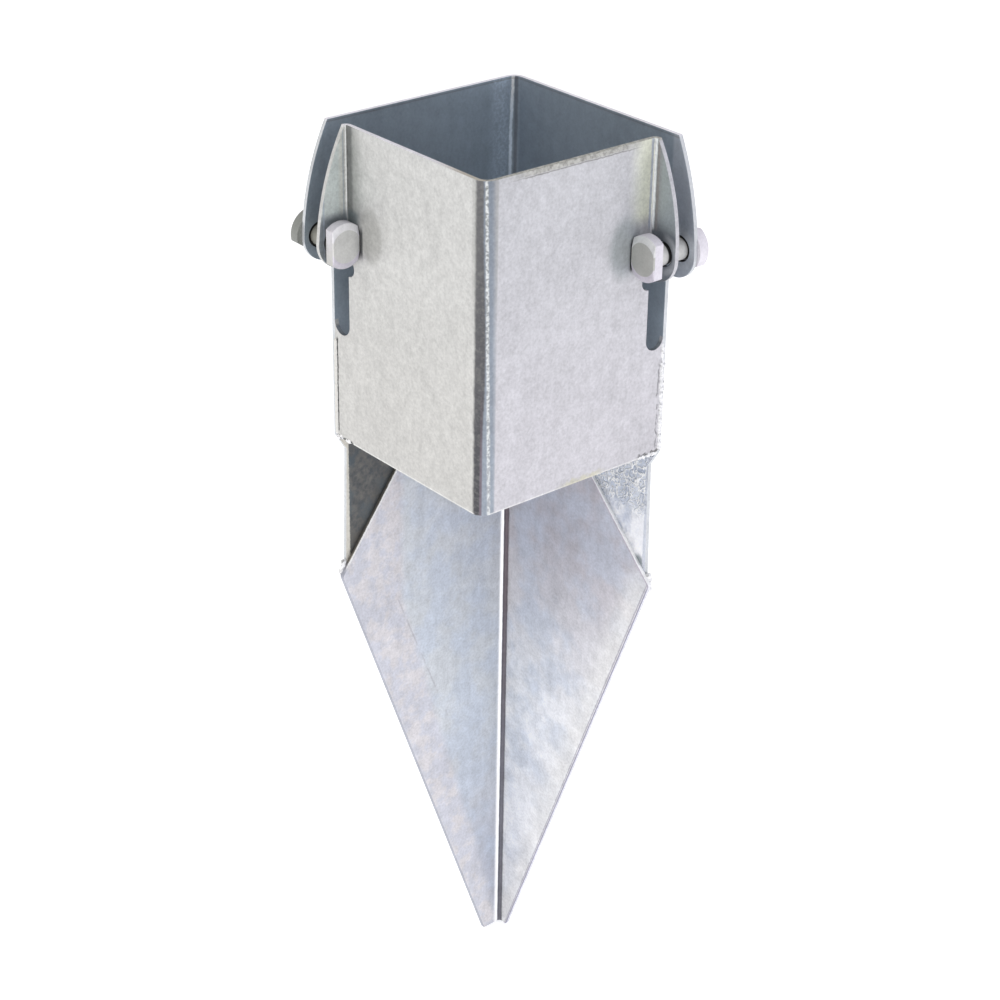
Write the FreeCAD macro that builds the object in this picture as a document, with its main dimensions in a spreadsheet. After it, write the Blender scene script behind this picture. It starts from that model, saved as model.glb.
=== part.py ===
import FreeCAD, Part
import math
import os
import Sketcher

# A post repair spike: a clamping socket for a square timber post, folded from two L-shaped
# sheets, with a folded V blade below its rear corner that is driven in beside the old post.
# Frame: +Z up, x and y centred on the socket, z = 0 at the socket's lower edge.
# The front corner points to (+x, -y) and the rear corner to (-x, +y).
# The left clamp stands out along -y and the right clamp along +x.

# Driving dimensions in millimetres, each with what it is
driving = [
    ("post_width", 100.0, "side of the square post that the socket holds"),
    ("post_clearance", 0.5, "gap between the post and each wall"),
    ("wall_thickness", 2.0, "sheet of both socket halves"),
    ("corner_radius", 6.0, "outside bend radius at the front and rear corners"),
    ("socket_height", 150.0, "height of the socket's walls"),
    ("skirt_drop", 72.0, "how far the rear half runs on below the socket"),
    ("skirt_inset", 5.3, "step in of the rear half's side edges, just below the socket"),
    ("skirt_step", 8.5, "height of the slope that makes that step"),
    ("skirt_taper", 1.5, "how much less that step is at the skirt's lower edge"),
    ("left_front_ear_reach", 15.5, "how far this ear stands out from the corner"),
    ("left_front_ear_top", 1.0, "the same at its top edge"),
    ("left_front_ear_bulge", 2.9, "how far its curved flank bows out from a straight line"),
    ("left_rear_ear_reach", 15.3, "the same three for the ear behind it"),
    ("left_rear_ear_top", 1.9, "reach at its top edge"),
    ("left_rear_ear_bulge", 2.9, "bow of its flank"),
    ("right_front_ear_reach", 15.2, "the same three for the right clamp's front ear"),
    ("right_front_ear_top", 1.5, "reach at its top edge"),
    ("right_front_ear_bulge", 4.0, "bow of its flank"),
    ("right_rear_ear_reach", 16.6, "the same three for the ear behind it"),
    ("right_rear_ear_top", 3.5, "reach at its top edge"),
    ("right_rear_ear_bulge", 2.8, "bow of its flank"),
    ("ear_nose_radius", 12.2, "round of each ear's lower outer corner"),
    ("ear_drop", 13.5, "how far the ear's lower edge lies below the bolt's axis"),
    ("ear_root_drop", 2.0, "slope of the rear ear's lower edge back to the corner"),
    ("left_ear_gap", 9.1, "open distance between the two ears of the left clamp"),
    ("right_ear_gap", 8.1, "the same for the right clamp"),
    ("ear_bend_radius", 1.0, "inside radius of the fold at a front ear"),
    ("slot_floor", 51.5, "height of the lowest point of the clamp slots"),
    ("relief_radius", 4.0, "round hole that ends the fold of a front ear"),
    ("relief_sink", 1.5, "how far that hole's centre lies below the ear's lower edge"),
    ("left_bolt_reach", 7.0, "left bolt's axis, out from the corner"),
    ("right_bolt_reach", 7.5, "right bolt's axis, out from the corner"),
    ("bolt_height", 100.0, "level of the clamps, above the socket's lower edge"),
    ("left_bolt_drop", 0.8, "how far the left bolt and its holes lie below that level"),
    ("right_bolt_rise", 0.4, "how far the right bolt and its holes lie above it"),
    ("shank_diameter", 9.8, "clamp bolt"),
    ("bolt_hole_diameter", 11.2, "hole in each ear"),
    ("shank_length", 25.0, "from under the head to the point"),
    ("point_chamfer", 1.0, "chamfer at the end of the shank"),
    ("head_diameter", 20.6, "round of the bolt's head"),
    ("head_flats", 13.6, "width across the head's two flats"),
    ("head_thickness", 5.5, "height of the head"),
    ("head_chamfer", 2.6, "width of the chamfer round the head's face"),
    ("head_chamfer_depth", 1.0, "depth of that chamfer"),
    ("left_standoff", 2.9, "gap from the left head to its ear, as the bolt is slack"),
    ("right_standoff", 6.3, "gap from the right head to its ear"),
    ("nut_diameter", 21.4, "round of the nut"),
    ("nut_flats", 16.0, "width across the nut's two flats"),
    ("nut_thickness", 5.6, "height of the nut"),
    ("nut_chamfer", 0.8, "chamfer round the nut's outer face"),
    ("left_nut_turn", 35.0, "how far the left nut's flats are turned, in degrees"),
    ("right_nut_turn", 80.0, "the same for the right nut"),
    ("blade_thickness", 2.5, "sheet of the spike blade"),
    ("blade_top", 6.0, "height of the blade's upper edge, which stops the post"),
    ("blade_drop", 322.0, "depth of the blade's tip below the socket"),
    ("left_top_width", 47.2, "left arm of the blade at its upper edge"),
    ("left_shoulder_reach", 2.0, "how far its shoulder stands out past the socket's inside"),
    ("left_shoulder_drop", 73.4, "depth of the left shoulder"),
    ("left_tip_width", 13.5, "left arm at the tip"),
    ("right_top_width", 27.8, "right arm of the blade at its upper edge"),
    ("right_shoulder_reach", 3.0, "how far its shoulder stands out past the socket's inside"),
    ("right_shoulder_drop", 68.6, "depth of the right shoulder"),
    ("right_tip_width", 7.2, "right arm at the tip"),
    ("shoulder_round", 2.0, "round of the blade's shoulders"),
    ("seam_width", 3.4, "bead on the upright seams of the socket"),
    ("seam_rise", 0.8, "how far that bead stands proud"),
    ("seam_margin", 1.0, "plain seam left above and below that bead"),
    ("corner_bead_length", 11.0, "bead under the socket's lower edge at each side"),
    ("corner_bead_rise", 0.9, "how far that bead hangs below the edge"),
    ("fillet_leg", 1.8, "leg of the beads under the skirt that hold the blade"),
    ("weld_land", 0.6, "bare rim of the blade's shoulder beside its weld"),
]
values = {alias: number for alias, number, note in driving}


class Size:
    # A length that knows its number and the spreadsheet expression that gives it.
    def __init__(self, number, text):
        self.number = number
        self.text = text

    def __add__(self, other):
        return Size(self.number + number(other), "(%s + %s)" % (self.text, text(other)))

    def __sub__(self, other):
        return Size(self.number - number(other), "(%s - %s)" % (self.text, text(other)))

    def __mul__(self, other):
        return Size(self.number * number(other), "(%s * %s)" % (self.text, text(other)))

    def __truediv__(self, other):
        return Size(self.number / number(other), "(%s / %s)" % (self.text, text(other)))

    def __neg__(self):
        return Size(-self.number, "(-1 * %s)" % self.text)

    def root(self):
        return Size(math.sqrt(self.number), "sqrt(%s)" % self.text)


def number(value):
    return value.number if isinstance(value, Size) else float(value)


def text(value):
    return value.text if isinstance(value, Size) else "(%s)" % value


def size(alias):
    return Size(values[alias], "Sizes." + alias)


doc = FreeCAD.newDocument("post_repair_spike")
sheet = doc.addObject("Spreadsheet::Sheet", "Sizes")
for row, (alias, amount, note) in enumerate(driving, start=1):
    sheet.set("A%d" % row, note)
    sheet.set("B%d" % row, str(amount))
    sheet.setAlias("B%d" % row, alias)
doc.recompute()


# Sketches, pads, pockets and turned pieces

def newBody(label):
    body = doc.addObject("PartDesign::Body", label)
    body.Label = label
    return body


def newSketch(body, name, plane, offset=None):
    # A sketch on one of the body's own origin planes, moved along its normal by offset.
    sketch = body.newObject("Sketcher::SketchObject", name)
    support = [item for item in body.Origin.OriginFeatures if item.Role == plane][0]
    sketch.AttachmentSupport = [(support, "")]
    sketch.MapMode = "FlatFace"
    if offset is not None:
        sketch.setExpression("AttachmentOffset.Base.z", offset.text)
    sketch.Visibility = False
    return sketch


def constrain(sketch, name, length, kind, *places):
    sketch.addConstraint(Sketcher.Constraint(kind, *places, number(length)))
    sketch.renameConstraint(sketch.ConstraintCount - 1, name)
    sketch.setExpression("Constraints." + name, text(length))


def arcBetween(start, end, radius, turn):
    # The shorter arc from start to end; turn is 1 for counter-clockwise and -1 for clockwise.
    chord = end - start
    rise = math.sqrt(max(radius * radius - chord.Length * chord.Length / 4, 0.0))
    across = FreeCAD.Vector(-chord.y, chord.x, 0).normalize()
    centre = (start + end) * 0.5 + across * (rise * turn)
    first, last = (start, end) if turn > 0 else (end, start)
    angles = [math.atan2(point.y - centre.y, point.x - centre.x) for point in (first, last)]
    circle = Part.Circle(centre, FreeCAD.Vector(0, 0, 1), radius)
    return Part.ArcOfCircle(circle, angles[0], angles[1])


def drawOutline(sketch, corners):
    # Each corner is (across, up) for a straight run to it from the corner before it,
    # or (across, up, radius, turn) for an arc to it.
    points = [FreeCAD.Vector(number(corner[0]), number(corner[1]), 0) for corner in corners]
    ends = []
    for index, corner in enumerate(corners):
        start, end = points[index - 1], points[index]
        if len(corner) == 2:
            edge = sketch.addGeometry(Part.LineSegment(start, end), False)
            ends.append((edge, 1, 2))
        else:
            arc = arcBetween(start, end, number(corner[2]), corner[3])
            edge = sketch.addGeometry(arc, False)
            ends.append((edge, 1, 2) if corner[3] > 0 else (edge, 2, 1))
    for index, corner in enumerate(corners):
        edge, head, tail = ends[index]
        nextEdge, nextHead, nextTail = ends[(index + 1) % len(corners)]
        sketch.addConstraint(Sketcher.Constraint("Coincident", edge, tail, nextEdge, nextHead))
        constrain(sketch, "across%d" % index, corner[0], "DistanceX", -1, 1, edge, tail)
        constrain(sketch, "up%d" % index, corner[1], "DistanceY", -1, 1, edge, tail)
        if len(corner) == 4:
            constrain(sketch, "radius%d" % index, corner[2], "Radius", edge)


def drawCircle(sketch, across, up, radius):
    centre = FreeCAD.Vector(number(across), number(up), 0)
    circle = Part.Circle(centre, FreeCAD.Vector(0, 0, 1), number(radius))
    edge = sketch.addGeometry(circle, False)
    constrain(sketch, "across", across, "DistanceX", -1, 1, edge, 3)
    constrain(sketch, "up", up, "DistanceY", -1, 1, edge, 3)
    constrain(sketch, "radius", radius, "Radius", edge)


def addPad(body, sketch, name, length):
    pad = body.newObject("PartDesign::Pad", name)
    pad.Profile = sketch
    pad.setExpression("Length", text(length))
    doc.recompute()


def addPocket(body, sketch, name, depth=None):
    # With no depth the pocket runs right through, both ways from its sketch.
    before = body.Shape.Volume
    pocket = body.newObject("PartDesign::Pocket", name)
    pocket.Profile = sketch
    if depth is None:
        pocket.Type = "ThroughAll"
        pocket.SideType = "Symmetric"
    else:
        pocket.setExpression("Length", text(depth))
    doc.recompute()
    if not body.Shape.Volume < before:
        raise RuntimeError(name + " cuts nothing")


def addTurned(body, sketch, name):
    turned = body.newObject("PartDesign::Revolution", name)
    turned.Profile = sketch
    turned.ReferenceAxis = (sketch, ["V_Axis"])
    turned.Angle = 360
    doc.recompute()


def addFlats(body, name, flats, radius, top, depth):
    # Two flats along the piece's own y, cut down from its upper face.
    for end, sign in (("near", -1), ("far", 1)):
        cut = newSketch(body, "%s_%s_flat" % (name, end), "XY_Plane", top)
        drawOutline(cut, [
            (flats / 2 * sign, -(radius + margin)),
            ((radius + margin) * sign, -(radius + margin)),
            ((radius + margin) * sign, radius + margin),
            (flats / 2 * sign, radius + margin),
        ])
        addPocket(body, cut, "%s_%s_face" % (name, end), depth)


def placeBody(body, rotation, base):
    body.Placement = FreeCAD.Placement(FreeCAD.Vector(*[number(part) for part in base]), rotation)
    for letter, part in zip("xyz", base):
        body.setExpression("Placement.Base." + letter, text(part))


# Lines that several pieces share

wall = size("wall_thickness")
innerFace = size("post_width") / 2 + size("post_clearance")
outerFace = innerFace + wall
height = size("socket_height")
bend = size("corner_radius")
innerBend = bend - wall
bendCentre = outerFace - bend
drop = size("skirt_drop")
inset = size("skirt_inset")
boltRadius = size("shank_diameter") / 2
holeRadius = size("bolt_hole_diameter") / 2
boltAcross = {side: outerFace + size(side + "_bolt_reach") for side in ("left", "right")}
clampLevel = size("bolt_height")
boltHeight = {
    "left": clampLevel - size("left_bolt_drop"),
    "right": clampLevel + size("right_bolt_rise"),
}
zero = Size(0.0, "0")
margin = Size(5.0, "5")    # how far a cutting outline runs past the sheet that it trims

earBottom = clampLevel - size("ear_drop")
noseRadius = size("ear_nose_radius")
noseHeight = earBottom + noseRadius
foldRadius = size("ear_bend_radius")
reliefHeight = earBottom - size("relief_sink")

# The plane that each side's ears and blade arm are drawn on, the plane that its front wall
# is drawn on, and which way that side points along the drawing's own across axis
sides = {
    "left": {"ears": "YZ_Plane", "wall": "XZ_Plane", "sign": -1},
    "right": {"ears": "XZ_Plane", "wall": "YZ_Plane", "sign": 1},
}
nearEnough = 0.01   # millimetres, when an edge is picked by its place or length


def earTip(ear):
    return outerFace + size(ear + "_reach")


def earTop(ear):
    return outerFace + size(ear + "_top")


def flankRadius(ear):
    # Of the arc that bows out by the ear's bulge between its top edge and its nose.
    lean = size(ear + "_reach") - size(ear + "_top")
    rise = height - noseHeight
    bulge = size(ear + "_bulge")
    return (lean * lean + rise * rise) / (bulge * 8) + bulge / 2


def earOutline(ear, sign):
    # From the ear's top down its curved flank and round its nose to its lower edge.
    return [
        (earTop(ear) * sign, height),
        (earTip(ear) * sign, noseHeight, flankRadius(ear), -sign),
        ((earTip(ear) - noseRadius) * sign, earBottom, noseRadius, -sign),
    ]


def outsideEar(ear, sign, low):
    # Closes the waste round an ear, outside its outline.
    return [
        ((earTip(ear) + margin) * sign, low),
        ((earTip(ear) + margin) * sign, height + margin),
        (earTop(ear) * sign, height + margin),
    ]


def frontEarNear(side):
    # The front ear's face towards the front corner, measured from the socket's axis.
    return innerFace - size(side + "_ear_gap") - wall


# Rear half of the socket: the rear ears, and the skirt that carries the blade

def makeRearHalf():
    body = newBody("rear_socket_half")
    plan = newSketch(body, "rear_plan", "XY_Plane", -drop)
    drawOutline(plan, [
        (-outerFace, -earTip("left_rear_ear")),
        (-innerFace, -earTip("left_rear_ear")),
        (-innerFace, bendCentre),
        (-bendCentre, innerFace, innerBend, -1),
        (earTip("right_rear_ear"), innerFace),
        (earTip("right_rear_ear"), outerFace),
        (-bendCentre, outerFace),
        (-outerFace, bendCentre, bend, 1),
    ])
    addPad(body, plan, "rear_sheet", height + drop)
    lowEdge = outerFace - inset + size("skirt_taper")
    for side, lie in sides.items():
        sign = lie["sign"]
        ear = side + "_rear_ear"
        trim = newSketch(body, side + "_rear_trim", lie["ears"])
        skirt = [
            (outerFace * sign, earBottom - size("ear_root_drop")),
            (outerFace * sign, zero),
            ((outerFace - inset) * sign, -size("skirt_step")),
            (lowEdge * sign, -drop),
            (lowEdge * sign, -drop - margin),
        ]
        drawOutline(trim, earOutline(ear, sign) + skirt + outsideEar(ear, sign, -drop - margin))
        addPocket(body, trim, side + "_rear_outline")
        hole = newSketch(body, side + "_rear_hole", lie["ears"])
        drawCircle(hole, boltAcross[side] * sign, boltHeight[side], holeRadius)
        addPocket(body, hole, side + "_rear_bolt_hole")


# Front half of the socket: the clamp slots, and the front ears folded out of its walls

def makeFrontHalf():
    body = newBody("front_socket_half")
    plan = newSketch(body, "front_plan", "XY_Plane")
    drawOutline(plan, [
        (-innerFace, -outerFace),
        (bendCentre, -outerFace),
        (outerFace, -bendCentre, bend, 1),
        (outerFace, innerFace),
        (innerFace, innerFace),
        (innerFace, -bendCentre),
        (bendCentre, -innerFace, innerBend, -1),
        (-innerFace, -innerFace),
    ])
    addPad(body, plan, "front_sheet", height)
    for side in sides:
        cutSlot(body, side)
        foldEar(body, side)


def cutSlot(body, side):
    # A slot with a round floor, open to the rear wall, and the half-round relief above it.
    sign = sides[side]["sign"]
    slotEdge = frontEarNear(side)
    foldStart = slotEdge - foldRadius
    slotRound = (innerFace - slotEdge) / 2
    slotShoulder = size("slot_floor") + slotRound
    relief = size("relief_radius")
    reliefTop = reliefHeight + (relief * relief - foldRadius * foldRadius).root()
    outline = newSketch(body, side + "_slot_outline", sides[side]["wall"])
    drawOutline(outline, [
        (outerFace * sign, height + margin),
        (outerFace * sign, slotShoulder),
        (innerFace * sign, slotShoulder),
        ((innerFace - slotRound) * sign, size("slot_floor"), slotRound, -sign),
        (slotEdge * sign, slotShoulder, slotRound, -sign),
        (slotEdge * sign, reliefHeight - relief),
        (foldStart * sign, reliefTop, relief, -sign),
        (foldStart * sign, height + margin),
    ])
    addPocket(body, outline, side + "_slot")


def foldEar(body, side):
    earPlane, wallPlane, sign = sides[side]["ears"], sides[side]["wall"], sides[side]["sign"]
    ear = side + "_front_ear"
    near = frontEarNear(side)
    far = near + wall
    foldStart = near - foldRadius
    # The fold and the ear seen from above: how far along the wall, and how far out.
    section = [
        (foldStart, innerFace),
        (far, outerFace + foldRadius, foldRadius + wall, -1),
        (far, earTip(ear)),
        (near, earTip(ear)),
        (near, outerFace + foldRadius),
        (foldStart, outerFace, foldRadius, 1),
    ]
    corners = []
    for along, out, *arc in section:
        place = (-along, -out) if side == "left" else (out, along)
        turn = (arc[0], arc[1] * sign) if arc else ()
        corners.append(place + turn)
    plan = newSketch(body, side + "_ear_plan", "XY_Plane", earBottom)
    drawOutline(plan, corners)
    addPad(body, plan, side + "_ear", height - earBottom)
    trim = newSketch(body, side + "_ear_trim", earPlane)
    waste = [((earTip(ear) - noseRadius) * sign, earBottom - margin)]
    drawOutline(trim, earOutline(ear, sign) + waste + outsideEar(ear, sign, earBottom - margin))
    addPocket(body, trim, side + "_ear_outline")
    # The relief hole bites the foot of the fold too.
    bite = wall * 2 + foldRadius
    relief = newSketch(body, side + "_relief", wallPlane, innerFace + bite)
    drawCircle(relief, near * sign, reliefHeight, size("relief_radius"))
    addPocket(body, relief, side + "_relief_hole", bite)
    hole = newSketch(body, side + "_front_hole", earPlane)
    drawCircle(hole, boltAcross[side] * sign, boltHeight[side], holeRadius)
    addPocket(body, hole, side + "_front_bolt_hole")


# Spike blade: one sheet folded to a V, nested in the skirt's rear corner

def bladeReach(side):
    return innerFace + size(side + "_shoulder_reach")


def makeBlade():
    body = newBody("spike_blade")
    bladeInner = innerFace - size("blade_thickness")
    plan = newSketch(body, "blade_plan", "XY_Plane", -size("blade_drop"))
    blank = {side: bladeReach(side) + margin / 2 for side in sides}
    drawOutline(plan, [
        (-innerFace, -blank["left"]),
        (-bladeInner, -blank["left"]),
        (-bladeInner, bendCentre),
        (-bendCentre, bladeInner, innerBend - size("blade_thickness"), -1),
        (blank["right"], bladeInner),
        (blank["right"], innerFace),
        (-bendCentre, innerFace),
        (-innerFace, bendCentre, innerBend, 1),
    ])
    addPad(body, plan, "blade_sheet", size("blade_drop") + size("blade_top"))
    for side in sides:
        trimArm(body, side)
    roundShoulders(body)


def trimArm(body, side):
    # The straight cut above the shoulder and the long one from the shoulder to the tip.
    plane, sign = sides[side]["ears"], sides[side]["sign"]
    top = size(side + "_top_width") - innerFace
    tip = size(side + "_tip_width") - innerFace
    waste = bladeReach(side) + margin
    shoulder = (bladeReach(side) * sign, -size(side + "_shoulder_drop"))
    upper = newSketch(body, side + "_upper_cut", plane)
    drawOutline(upper, [
        (top * sign, size("blade_top")),
        shoulder,
        (waste * sign, shoulder[1]),
        (waste * sign, size("blade_top") + margin),
        (top * sign, size("blade_top") + margin),
    ])
    addPocket(body, upper, side + "_upper_edge")
    lower = newSketch(body, side + "_lower_cut", plane)
    drawOutline(lower, [
        shoulder,
        (tip * sign, -size("blade_drop")),
        (tip * sign, -size("blade_drop") - margin),
        (waste * sign, -size("blade_drop") - margin),
        (waste * sign, shoulder[1]),
    ])
    addPocket(body, lower, side + "_lower_edge")


def roundShoulders(body):
    # The short edges through the sheet at the shoulders' depth.
    names = []
    for count, edge in enumerate(body.Shape.Edges, start=1):
        depth = -edge.CenterOfMass.z
        for side in sides:
            atShoulder = abs(depth - values[side + "_shoulder_drop"]) < nearEnough
            if atShoulder and abs(edge.Length - values["blade_thickness"]) < nearEnough:
                names.append("Edge%d" % count)
    sheared = body.Tip
    rounding = body.newObject("PartDesign::Fillet", "shoulder_rounding")
    rounding.Base = (sheared, names)
    rounding.setExpression("Radius", "Sizes.shoulder_round")
    doc.recompute()


# Weld beads

def makeSeamWeld(side):
    # On the upright seam, where the front half's wall meets the rear half's edge.
    body = newBody(side + "_seam_weld")
    half = size("seam_width") / 2
    rise = size("seam_rise")
    crown = (half * half + rise * rise) / (rise * 2)
    plan = newSketch(body, side + "_seam_plan", "XY_Plane", size("seam_margin"))
    if side == "left":
        drawOutline(plan, [
            (-innerFace + half, -outerFace),
            (-innerFace - half, -outerFace, crown, -1),
        ])
    else:
        drawOutline(plan, [
            (outerFace, innerFace - half),
            (outerFace, innerFace + half, crown, 1),
        ])
    addPad(body, plan, side + "_seam_bead", size("slot_floor") - size("seam_margin") * 2)


def makeCornerWeld(side):
    # Under the front wall's lower edge, run in from the rear half's inner face.
    sign = sides[side]["sign"]
    body = newBody(side + "_corner_weld")
    half = wall / 2
    rise = size("corner_bead_rise")
    crown = (half * half + rise * rise) / (rise * 2)
    section = newSketch(body, side + "_corner_section", sides[side]["ears"], -innerFace)
    drawOutline(section, [
        (outerFace * sign, zero),
        (innerFace * sign, zero, crown, -sign),
    ])
    addPad(body, section, side + "_corner_bead", size("corner_bead_length"))


def makeShoulderWeld(side):
    # Beside the skirt's lower corner, on the back of the blade's shoulder.
    sign = sides[side]["sign"]
    body = newBody(side + "_shoulder_weld")
    shoulder = bladeReach(side)
    shoulderDrop = size(side + "_shoulder_drop")
    spread = shoulder - size(side + "_top_width") + innerFace
    slope = spread / (shoulderDrop + size("blade_top"))
    lowEdge = outerFace - inset + size("skirt_taper")
    headDrop = shoulderDrop - (shoulder - lowEdge) / slope
    edgeLean = size("skirt_taper") / (drop - size("skirt_step"))
    headAcross = lowEdge - edgeLean * (drop - headDrop)
    section = newSketch(body, side + "_shoulder_section", sides[side]["ears"], -outerFace)
    drawOutline(section, [
        (headAcross * sign, -headDrop),
        ((shoulder - size("weld_land")) * sign, -shoulderDrop),
        (lowEdge * sign, -drop),
    ])
    addPad(body, section, side + "_shoulder_bead", outerFace - innerFace)


def makeRearWeld(side):
    # Under the skirt's lower edge, on the blade's outer face.
    sign = sides[side]["sign"]
    body = newBody(side + "_rear_weld")
    leg = size("fillet_leg")
    section = newSketch(body, side + "_rear_section", sides[side]["wall"], -bendCentre)
    drawOutline(section, [
        (innerFace * sign, -drop),
        ((innerFace + leg) * sign, -drop),
        (innerFace * sign, -drop - leg),
    ])
    addPad(body, section, side + "_rear_bead", bendCentre + outerFace - inset)


# Clamp bolts and nuts, each drawn upright about its own axis and then laid through its ears

def makeBolt(side):
    # The head's face is at the piece's own z = 0 and the shank runs down from it.
    body = newBody(side + "_clamp_bolt")
    thickness = size("head_thickness")
    headRadius = size("head_diameter") / 2
    point = size("point_chamfer")
    length = thickness + size("shank_length")
    half = newSketch(body, side + "_bolt_half", "XZ_Plane")
    drawOutline(half, [
        (zero, zero),
        (zero, -length),
        (boltRadius - point, -length),
        (boltRadius, point - length),
        (boltRadius, -thickness),
        (headRadius, -thickness),
        (headRadius, -size("head_chamfer_depth")),
        (headRadius - size("head_chamfer"), zero),
    ])
    addTurned(body, half, side + "_bolt_turned")
    addFlats(body, side + "_bolt", size("head_flats"), headRadius, zero, thickness)
    face = frontEarNear(side) - size(side + "_standoff") - thickness
    if side == "left":
        rotation = FreeCAD.Rotation(FreeCAD.Vector(1, 1, 1), 120)
        placeBody(body, rotation, (-face, -boltAcross[side], boltHeight[side]))
    else:
        rotation = FreeCAD.Rotation(FreeCAD.Vector(1, 0, 0), 90)
        placeBody(body, rotation, (boltAcross[side], face, boltHeight[side]))


def makeNut(side):
    # The seat is at the piece's own z = 0, against the rear ear.
    body = newBody(side + "_clamp_nut")
    thickness = size("nut_thickness")
    chamfer = size("nut_chamfer")
    nutRadius = size("nut_diameter") / 2
    half = newSketch(body, side + "_nut_half", "XZ_Plane")
    drawOutline(half, [
        (boltRadius, zero),
        (nutRadius, zero),
        (nutRadius, thickness - chamfer),
        (nutRadius - chamfer, thickness),
        (boltRadius, thickness),
    ])
    addTurned(body, half, side + "_nut_turned")
    addFlats(body, side + "_nut", size("nut_flats"), nutRadius, thickness, thickness)
    turn = FreeCAD.Rotation(FreeCAD.Vector(0, 0, 1), values[side + "_nut_turn"])
    if side == "left":
        rotation = FreeCAD.Rotation(FreeCAD.Vector(0, 1, 0), -90).multiply(turn)
        placeBody(body, rotation, (-outerFace, -boltAcross[side], boltHeight[side]))
    else:
        rotation = FreeCAD.Rotation(FreeCAD.Vector(1, 0, 0), -90).multiply(turn)
        placeBody(body, rotation, (boltAcross[side], outerFace, boltHeight[side]))


makeRearHalf()
makeFrontHalf()
makeBlade()
for side in sides:
    makeSeamWeld(side)
    makeCornerWeld(side)
    makeShoulderWeld(side)
    makeRearWeld(side)
    makeBolt(side)
    makeNut(side)
doc.recompute()

# Nothing is written unless every feature worked and every piece is one sound solid.
for item in doc.Objects:
    if {"Invalid", "Error"} & set(item.State):
        raise RuntimeError(item.Name + " failed")
bodies = [item for item in doc.Objects if item.TypeId == "PartDesign::Body"]
for body in bodies:
    if body.Shape.isNull() or not body.Shape.isValid() or len(body.Shape.Solids) != 1:
        raise RuntimeError(body.Label + " is not one sound solid")

os.makedirs("parts", exist_ok=True)
for body in bodies:
    body.Shape.exportStep(os.path.join("parts", body.Label + ".step"))
    box = body.Shape.BoundBox
    print("%-18s %9.1f mm3  x %.1f..%.1f  y %.1f..%.1f  z %.1f..%.1f" % (
        body.Label, body.Shape.Volume, box.XMin, box.XMax, box.YMin, box.YMax, box.ZMin, box.ZMax))
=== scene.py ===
import math

import bmesh
import bpy
from mathutils import Matrix, Vector


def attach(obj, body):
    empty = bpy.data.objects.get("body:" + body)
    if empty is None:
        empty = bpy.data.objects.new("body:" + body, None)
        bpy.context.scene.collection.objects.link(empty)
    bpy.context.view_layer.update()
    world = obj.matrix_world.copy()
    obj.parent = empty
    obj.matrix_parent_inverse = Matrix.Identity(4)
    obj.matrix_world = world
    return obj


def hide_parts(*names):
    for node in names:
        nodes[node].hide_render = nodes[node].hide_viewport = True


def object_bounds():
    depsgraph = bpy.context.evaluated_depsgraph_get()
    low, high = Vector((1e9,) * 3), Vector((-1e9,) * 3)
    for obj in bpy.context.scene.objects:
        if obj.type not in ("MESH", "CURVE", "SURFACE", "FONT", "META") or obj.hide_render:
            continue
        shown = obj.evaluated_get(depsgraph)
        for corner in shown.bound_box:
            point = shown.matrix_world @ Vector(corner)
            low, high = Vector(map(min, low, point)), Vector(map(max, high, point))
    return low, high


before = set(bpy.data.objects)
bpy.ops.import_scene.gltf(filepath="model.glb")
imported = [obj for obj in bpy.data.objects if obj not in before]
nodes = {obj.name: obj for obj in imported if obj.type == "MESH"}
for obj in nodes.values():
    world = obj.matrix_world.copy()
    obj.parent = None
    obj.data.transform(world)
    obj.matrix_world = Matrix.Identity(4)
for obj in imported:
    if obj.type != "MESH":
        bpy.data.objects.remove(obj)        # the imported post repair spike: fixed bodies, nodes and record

cadBox = [list(corner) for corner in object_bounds()]
body = "root"
print("frame loaded:", len(nodes), "nodes")


viewpoint = {
    "place": (0.7207, -0.6076, 0.4610),
    "azimuth": 49.743,      # degrees, 0 looks along +Y
    "elevation": 27.49,
    "roll": 0.948,
    "sensor": 36,           # mm, square
    "lens": 83.19,
}

def makeCamera():
    azimuth, elevation, roll = (
        math.radians(viewpoint[key]) for key in ("azimuth", "elevation", "roll"))
    back = Vector((
        math.sin(azimuth) * math.cos(elevation),
        -math.cos(azimuth) * math.cos(elevation),
        math.sin(elevation)))
    level = Vector((math.cos(azimuth), math.sin(azimuth), 0))
    upright = back.cross(level)
    right = level * math.cos(roll) + upright * math.sin(roll)
    up = upright * math.cos(roll) - level * math.sin(roll)
    data = bpy.data.cameras.new("camera")
    data.sensor_width = viewpoint["sensor"]
    data.lens = viewpoint["lens"]
    data.clip_start, data.clip_end = 0.05, 50
    camera = bpy.data.objects.new("camera", data)
    turn = Matrix((right, up, back)).transposed().to_4x4()
    camera.matrix_world = Matrix.Translation(viewpoint["place"]) @ turn
    bpy.context.scene.collection.objects.link(camera)
    bpy.context.scene.camera = camera

makeCamera()


def addNode(tree, kind, inputs={}, **settings):
    # adds a node to any tree, links the sockets it is given and sets the plain values
    node = tree.nodes.new(kind)
    for key, value in settings.items():
        setattr(node, key, value)
    for key, value in inputs.items():
        if isinstance(value, bpy.types.NodeSocket):
            tree.links.new(value, node.inputs[key])
        else:
            node.inputs[key].default_value = value
    return node.outputs


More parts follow.
